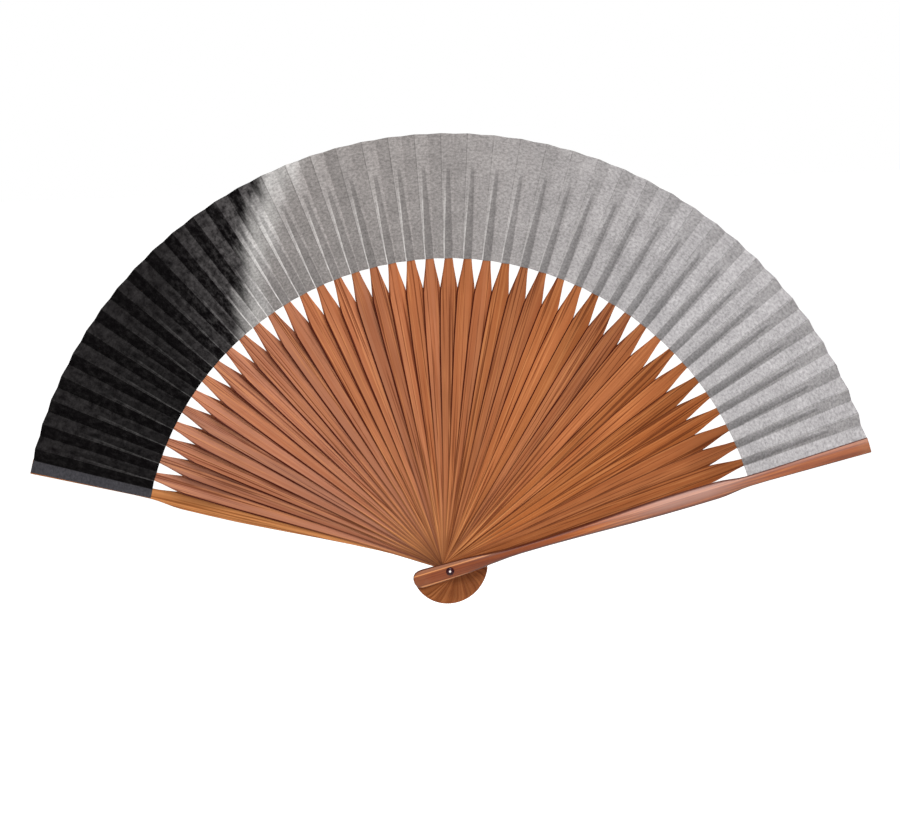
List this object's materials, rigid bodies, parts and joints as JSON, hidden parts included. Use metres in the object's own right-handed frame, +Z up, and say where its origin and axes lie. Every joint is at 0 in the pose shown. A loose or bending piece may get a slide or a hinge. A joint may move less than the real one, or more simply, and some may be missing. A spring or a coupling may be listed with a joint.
{
  "type": "folding fan",
  "caption": "Open folding fan with thin bamboo ribs, two thicker guards, a pleated two-tone leaf and a domed pivot rivet.",
  "frame": {"origin": "on the rivet's axis, halfway through the stack of sticks, where the hand holds the fan", "axes": "+Z up through the middle of the open leaf, +X towards the front guard's side, +Y along the rivet from the front of the fan to its back"},
  "size_m": [0.3786, 0.0271, 0.212],
  "materials": {
    "rib_bamboo": "satin, stained, fine lengthwise grain",
    "guard_bamboo": "polished, stained",
    "dyed_leaf": "matte, dyed",
    "rivet_horn": "gloss, dark"
  },
  "bodies": {
    "frame": {"front_guard": "guard_bamboo", "leaf": "dyed_leaf", "pivot_rivet": "rivet_horn", "rivet_cap": "rivet_horn"},
    "rear_guard": {"rear_guard": "guard_bamboo"},
    "rib_01": {"rib_01": "rib_bamboo"},
    "rib_02": {"rib_02": "rib_bamboo"},
    "rib_03": {"rib_03": "rib_bamboo"},
    "rib_04": {"rib_04": "rib_bamboo"},
    "rib_05": {"rib_05": "rib_bamboo"},
    "rib_06": {"rib_06": "rib_bamboo"},
    "rib_07": {"rib_07": "rib_bamboo"},
    "rib_08": {"rib_08": "rib_bamboo"},
    "rib_09": {"rib_09": "rib_bamboo"},
    "rib_10": {"rib_10": "rib_bamboo"},
    "rib_11": {"rib_11": "rib_bamboo"},
    "rib_12": {"rib_12": "rib_bamboo"},
    "rib_13": {"rib_13": "rib_bamboo"},
    "rib_14": {"rib_14": "rib_bamboo"},
    "rib_15": {"rib_15": "rib_bamboo"},
    "rib_16": {"rib_16": "rib_bamboo"},
    "rib_17": {"rib_17": "rib_bamboo"},
    "rib_18": {"rib_18": "rib_bamboo"},
    "rib_19": {"rib_19": "rib_bamboo"},
    "rib_20": {"rib_20": "rib_bamboo"},
    "rib_21": {"rib_21": "rib_bamboo"},
    "rib_22": {"rib_22": "rib_bamboo"},
    "rib_23": {"rib_23": "rib_bamboo"},
    "rib_24": {"rib_24": "rib_bamboo"},
    "rib_25": {"rib_25": "rib_bamboo"},
    "rib_26": {"rib_26": "rib_bamboo"},
    "rib_27": {"rib_27": "rib_bamboo"},
    "rib_28": {"rib_28": "rib_bamboo"},
    "rib_29": {"rib_29": "rib_bamboo"},
    "rib_30": {"rib_30": "rib_bamboo"},
    "rib_31": {"rib_31": "rib_bamboo"},
    "rib_32": {"rib_32": "rib_bamboo"},
    "rib_33": {"rib_33": "rib_bamboo"},
    "rib_34": {"rib_34": "rib_bamboo"},
    "rib_35": {"rib_35": "rib_bamboo"},
    "rib_36": {"rib_36": "rib_bamboo"},
    "rib_37": {"rib_37": "rib_bamboo"},
    "rib_38": {"rib_38": "rib_bamboo"},
    "rib_39": {"rib_39": "rib_bamboo"},
    "rib_40": {"rib_40": "rib_bamboo"},
    "rib_41": {"rib_41": "rib_bamboo"},
    "rib_42": {"rib_42": "rib_bamboo"}
  },
  "joints": [
    {"name": "fan_open", "type": "hinge", "parent": "frame", "child": "rear_guard", "pos_m": [0, 0, 0], "axis": [0, 1, 0], "range_deg": [0, 150], "deforming": ["leaf"]},
    {"name": "rib_01_turn", "type": "hinge", "parent": "frame", "child": "rib_01", "pos_m": [0, 0, 0], "axis": [0, 1, 0], "range_deg": [0, 3.49]},
    {"name": "rib_02_turn", "type": "hinge", "parent": "frame", "child": "rib_02", "pos_m": [0, 0, 0], "axis": [0, 1, 0], "range_deg": [0, 6.98]},
    {"name": "rib_03_turn", "type": "hinge", "parent": "frame", "child": "rib_03", "pos_m": [0, 0, 0], "axis": [0, 1, 0], "range_deg": [0, 10.47]},
    {"name": "rib_04_turn", "type": "hinge", "parent": "frame", "child": "rib_04", "pos_m": [0, 0, 0], "axis": [0, 1, 0], "range_deg": [0, 13.96]},
    {"name": "rib_05_turn", "type": "hinge", "parent": "frame", "child": "rib_05", "pos_m": [0, 0, 0], "axis": [0, 1, 0], "range_deg": [0, 17.44]},
    {"name": "rib_06_turn", "type": "hinge", "parent": "frame", "child": "rib_06", "pos_m": [0, 0, 0], "axis": [0, 1, 0], "range_deg": [0, 20.93]},
    {"name": "rib_07_turn", "type": "hinge", "parent": "frame", "child": "rib_07", "pos_m": [0, 0, 0], "axis": [0, 1, 0], "range_deg": [0, 24.42]},
    {"name": "rib_08_turn", "type": "hinge", "parent": "frame", "child": "rib_08", "pos_m": [0, 0, 0], "axis": [0, 1, 0], "range_deg": [0, 27.91]},
    {"name": "rib_09_turn", "type": "hinge", "parent": "frame", "child": "rib_09", "pos_m": [0, 0, 0], "axis": [0, 1, 0], "range_deg": [0, 31.4]},
    {"name": "rib_10_turn", "type": "hinge", "parent": "frame", "child": "rib_10", "pos_m": [0, 0, 0], "axis": [0, 1, 0], "range_deg": [0, 34.88]},
    {"name": "rib_11_turn", "type": "hinge", "parent": "frame", "child": "rib_11", "pos_m": [0, 0, 0], "axis": [0, 1, 0], "range_deg": [0, 38.37]},
    {"name": "rib_12_turn", "type": "hinge", "parent": "frame", "child": "rib_12", "pos_m": [0, 0, 0], "axis": [0, 1, 0], "range_deg": [0, 41.86]},
    {"name": "rib_13_turn", "type": "hinge", "parent": "frame", "child": "rib_13", "pos_m": [0, 0, 0], "axis": [0, 1, 0], "range_deg": [0, 45.35]},
    {"name": "rib_14_turn", "type": "hinge", "parent": "frame", "child": "rib_14", "pos_m": [0, 0, 0], "axis": [0, 1, 0], "range_deg": [0, 48.84]},
    {"name": "rib_15_turn", "type": "hinge", "parent": "frame", "child": "rib_15", "pos_m": [0, 0, 0], "axis": [0, 1, 0], "range_deg": [0, 52.33]},
    {"name": "rib_16_turn", "type": "hinge", "parent": "frame", "child": "rib_16", "pos_m": [0, 0, 0], "axis": [0, 1, 0], "range_deg": [0, 55.81]},
    {"name": "rib_17_turn", "type": "hinge", "parent": "frame", "child": "rib_17", "pos_m": [0, 0, 0], "axis": [0, 1, 0], "range_deg": [0, 59.3]},
    {"name": "rib_18_turn", "type": "hinge", "parent": "frame", "child": "rib_18", "pos_m": [0, 0, 0], "axis": [0, 1, 0], "range_deg": [0, 62.79]},
    {"name": "rib_19_turn", "type": "hinge", "parent": "frame", "child": "rib_19", "pos_m": [0, 0, 0], "axis": [0, 1, 0], "range_deg": [0, 66.28]},
    {"name": "rib_20_turn", "type": "hinge", "parent": "frame", "child": "rib_20", "pos_m": [0, 0, 0], "axis": [0, 1, 0], "range_deg": [0, 69.77]},
    {"name": "rib_21_turn", "type": "hinge", "parent": "frame", "child": "rib_21", "pos_m": [0, 0, 0], "axis": [0, 1, 0], "range_deg": [0, 73.26]},
    {"name": "rib_22_turn", "type": "hinge", "parent": "frame", "child": "rib_22", "pos_m": [0, 0, 0], "axis": [0, 1, 0], "range_deg": [0, 76.75]},
    {"name": "rib_23_turn", "type": "hinge", "parent": "frame", "child": "rib_23", "pos_m": [0, 0, 0], "axis": [0, 1, 0], "range_deg": [0, 80.23]},
    {"name": "rib_24_turn", "type": "hinge", "parent": "frame", "child": "rib_24", "pos_m": [0, 0, 0], "axis": [0, 1, 0], "range_deg": [0, 83.72]},
    {"name": "rib_25_turn", "type": "hinge", "parent": "frame", "child": "rib_25", "pos_m": [0, 0, 0], "axis": [0, 1, 0], "range_deg": [0, 87.21]},
    {"name": "rib_26_turn", "type": "hinge", "parent": "frame", "child": "rib_26", "pos_m": [0, 0, 0], "axis": [0, 1, 0], "range_deg": [0, 90.7]},
    {"name": "rib_27_turn", "type": "hinge", "parent": "frame", "child": "rib_27", "pos_m": [0, 0, 0], "axis": [0, 1, 0], "range_deg": [0, 94.19]},
    {"name": "rib_28_turn", "type": "hinge", "parent": "frame", "child": "rib_28", "pos_m": [0, 0, 0], "axis": [0, 1, 0], "range_deg": [0, 97.68]},
    {"name": "rib_29_turn", "type": "hinge", "parent": "frame", "child": "rib_29", "pos_m": [0, 0, 0], "axis": [0, 1, 0], "range_deg": [0, 101.16]},
    {"name": "rib_30_turn", "type": "hinge", "parent": "frame", "child": "rib_30", "pos_m": [0, 0, 0], "axis": [0, 1, 0], "range_deg": [0, 104.65]},
    {"name": "rib_31_turn", "type": "hinge", "parent": "frame", "child": "rib_31", "pos_m": [0, 0, 0], "axis": [0, 1, 0], "range_deg": [0, 108.14]},
    {"name": "rib_32_turn", "type": "hinge", "parent": "frame", "child": "rib_32", "pos_m": [0, 0, 0], "axis": [0, 1, 0], "range_deg": [0, 111.63]},
    {"name": "rib_33_turn", "type": "hinge", "parent": "frame", "child": "rib_33", "pos_m": [0, 0, 0], "axis": [0, 1, 0], "range_deg": [0, 115.12]},
    {"name": "rib_34_turn", "type": "hinge", "parent": "frame", "child": "rib_34", "pos_m": [0, 0, 0], "axis": [0, 1, 0], "range_deg": [0, 118.61]},
    {"name": "rib_35_turn", "type": "hinge", "parent": "frame", "child": "rib_35", "pos_m": [0, 0, 0], "axis": [0, 1, 0], "range_deg": [0, 122.09]},
    {"name": "rib_36_turn", "type": "hinge", "parent": "frame", "child": "rib_36", "pos_m": [0, 0, 0], "axis": [0, 1, 0], "range_deg": [0, 125.58]},
    {"name": "rib_37_turn", "type": "hinge", "parent": "frame", "child": "rib_37", "pos_m": [0, 0, 0], "axis": [0, 1, 0], "range_deg": [0, 129.07]},
    {"name": "rib_38_turn", "type": "hinge", "parent": "frame", "child": "rib_38", "pos_m": [0, 0, 0], "axis": [0, 1, 0], "range_deg": [0, 132.56]},
    {"name": "rib_39_turn", "type": "hinge", "parent": "frame", "child": "rib_39", "pos_m": [0, 0, 0], "axis": [0, 1, 0], "range_deg": [0, 136.05]},
    {"name": "rib_40_turn", "type": "hinge", "parent": "frame", "child": "rib_40", "pos_m": [0, 0, 0], "axis": [0, 1, 0], "range_deg": [0, 139.54]},
    {"name": "rib_41_turn", "type": "hinge", "parent": "frame", "child": "rib_41", "pos_m": [0, 0, 0], "axis": [0, 1, 0], "range_deg": [0, 143.03]},
    {"name": "rib_42_turn", "type": "hinge", "parent": "frame", "child": "rib_42", "pos_m": [0, 0, 0], "axis": [0, 1, 0], "range_deg": [0, 146.51]}
  ],
  "couplings": [
    {"joint": "rib_01_turn", "follows": "fan_open", "ratio": 0.023256},
    {"joint": "rib_02_turn", "follows": "fan_open", "ratio": 0.046512},
    {"joint": "rib_03_turn", "follows": "fan_open", "ratio": 0.069767},
    {"joint": "rib_04_turn", "follows": "fan_open", "ratio": 0.093023},
    {"joint": "rib_05_turn", "follows": "fan_open", "ratio": 0.11628},
    {"joint": "rib_06_turn", "follows": "fan_open", "ratio": 0.13953},
    {"joint": "rib_07_turn", "follows": "fan_open", "ratio": 0.16279},
    {"joint": "rib_08_turn", "follows": "fan_open", "ratio": 0.18605},
    {"joint": "rib_09_turn", "follows": "fan_open", "ratio": 0.2093},
    {"joint": "rib_10_turn", "follows": "fan_open", "ratio": 0.23256},
    {"joint": "rib_11_turn", "follows": "fan_open", "ratio": 0.25581},
    {"joint": "rib_12_turn", "follows": "fan_open", "ratio": 0.27907},
    {"joint": "rib_13_turn", "follows": "fan_open", "ratio": 0.30233},
    {"joint": "rib_14_turn", "follows": "fan_open", "ratio": 0.32558},
    {"joint": "rib_15_turn", "follows": "fan_open", "ratio": 0.34884},
    {"joint": "rib_16_turn", "follows": "fan_open", "ratio": 0.37209},
    {"joint": "rib_17_turn", "follows": "fan_open", "ratio": 0.39535},
    {"joint": "rib_18_turn", "follows": "fan_open", "ratio": 0.4186},
    {"joint": "rib_19_turn", "follows": "fan_open", "ratio": 0.44186},
    {"joint": "rib_20_turn", "follows": "fan_open", "ratio": 0.46512},
    {"joint": "rib_21_turn", "follows": "fan_open", "ratio": 0.48837},
    {"joint": "rib_22_turn", "follows": "fan_open", "ratio": 0.51163},
    {"joint": "rib_23_turn", "follows": "fan_open", "ratio": 0.53488},
    {"joint": "rib_24_turn", "follows": "fan_open", "ratio": 0.55814},
    {"joint": "rib_25_turn", "follows": "fan_open", "ratio": 0.5814},
    {"joint": "rib_26_turn", "follows": "fan_open", "ratio": 0.60465},
    {"joint": "rib_27_turn", "follows": "fan_open", "ratio": 0.62791},
    {"joint": "rib_28_turn", "follows": "fan_open", "ratio": 0.65116},
    {"joint": "rib_29_turn", "follows": "fan_open", "ratio": 0.67442},
    {"joint": "rib_30_turn", "follows": "fan_open", "ratio": 0.69767},
    {"joint": "rib_31_turn", "follows": "fan_open", "ratio": 0.72093},
    {"joint": "rib_32_turn", "follows": "fan_open", "ratio": 0.74419},
    {"joint": "rib_33_turn", "follows": "fan_open", "ratio": 0.76744},
    {"joint": "rib_34_turn", "follows": "fan_open", "ratio": 0.7907},
    {"joint": "rib_35_turn", "follows": "fan_open", "ratio": 0.81395},
    {"joint": "rib_36_turn", "follows": "fan_open", "ratio": 0.83721},
    {"joint": "rib_37_turn", "follows": "fan_open", "ratio": 0.86047},
    {"joint": "rib_38_turn", "follows": "fan_open", "ratio": 0.88372},
    {"joint": "rib_39_turn", "follows": "fan_open", "ratio": 0.90698},
    {"joint": "rib_40_turn", "follows": "fan_open", "ratio": 0.93023},
    {"joint": "rib_41_turn", "follows": "fan_open", "ratio": 0.95349},
    {"joint": "rib_42_turn", "follows": "fan_open", "ratio": 0.97674}
  ]
}
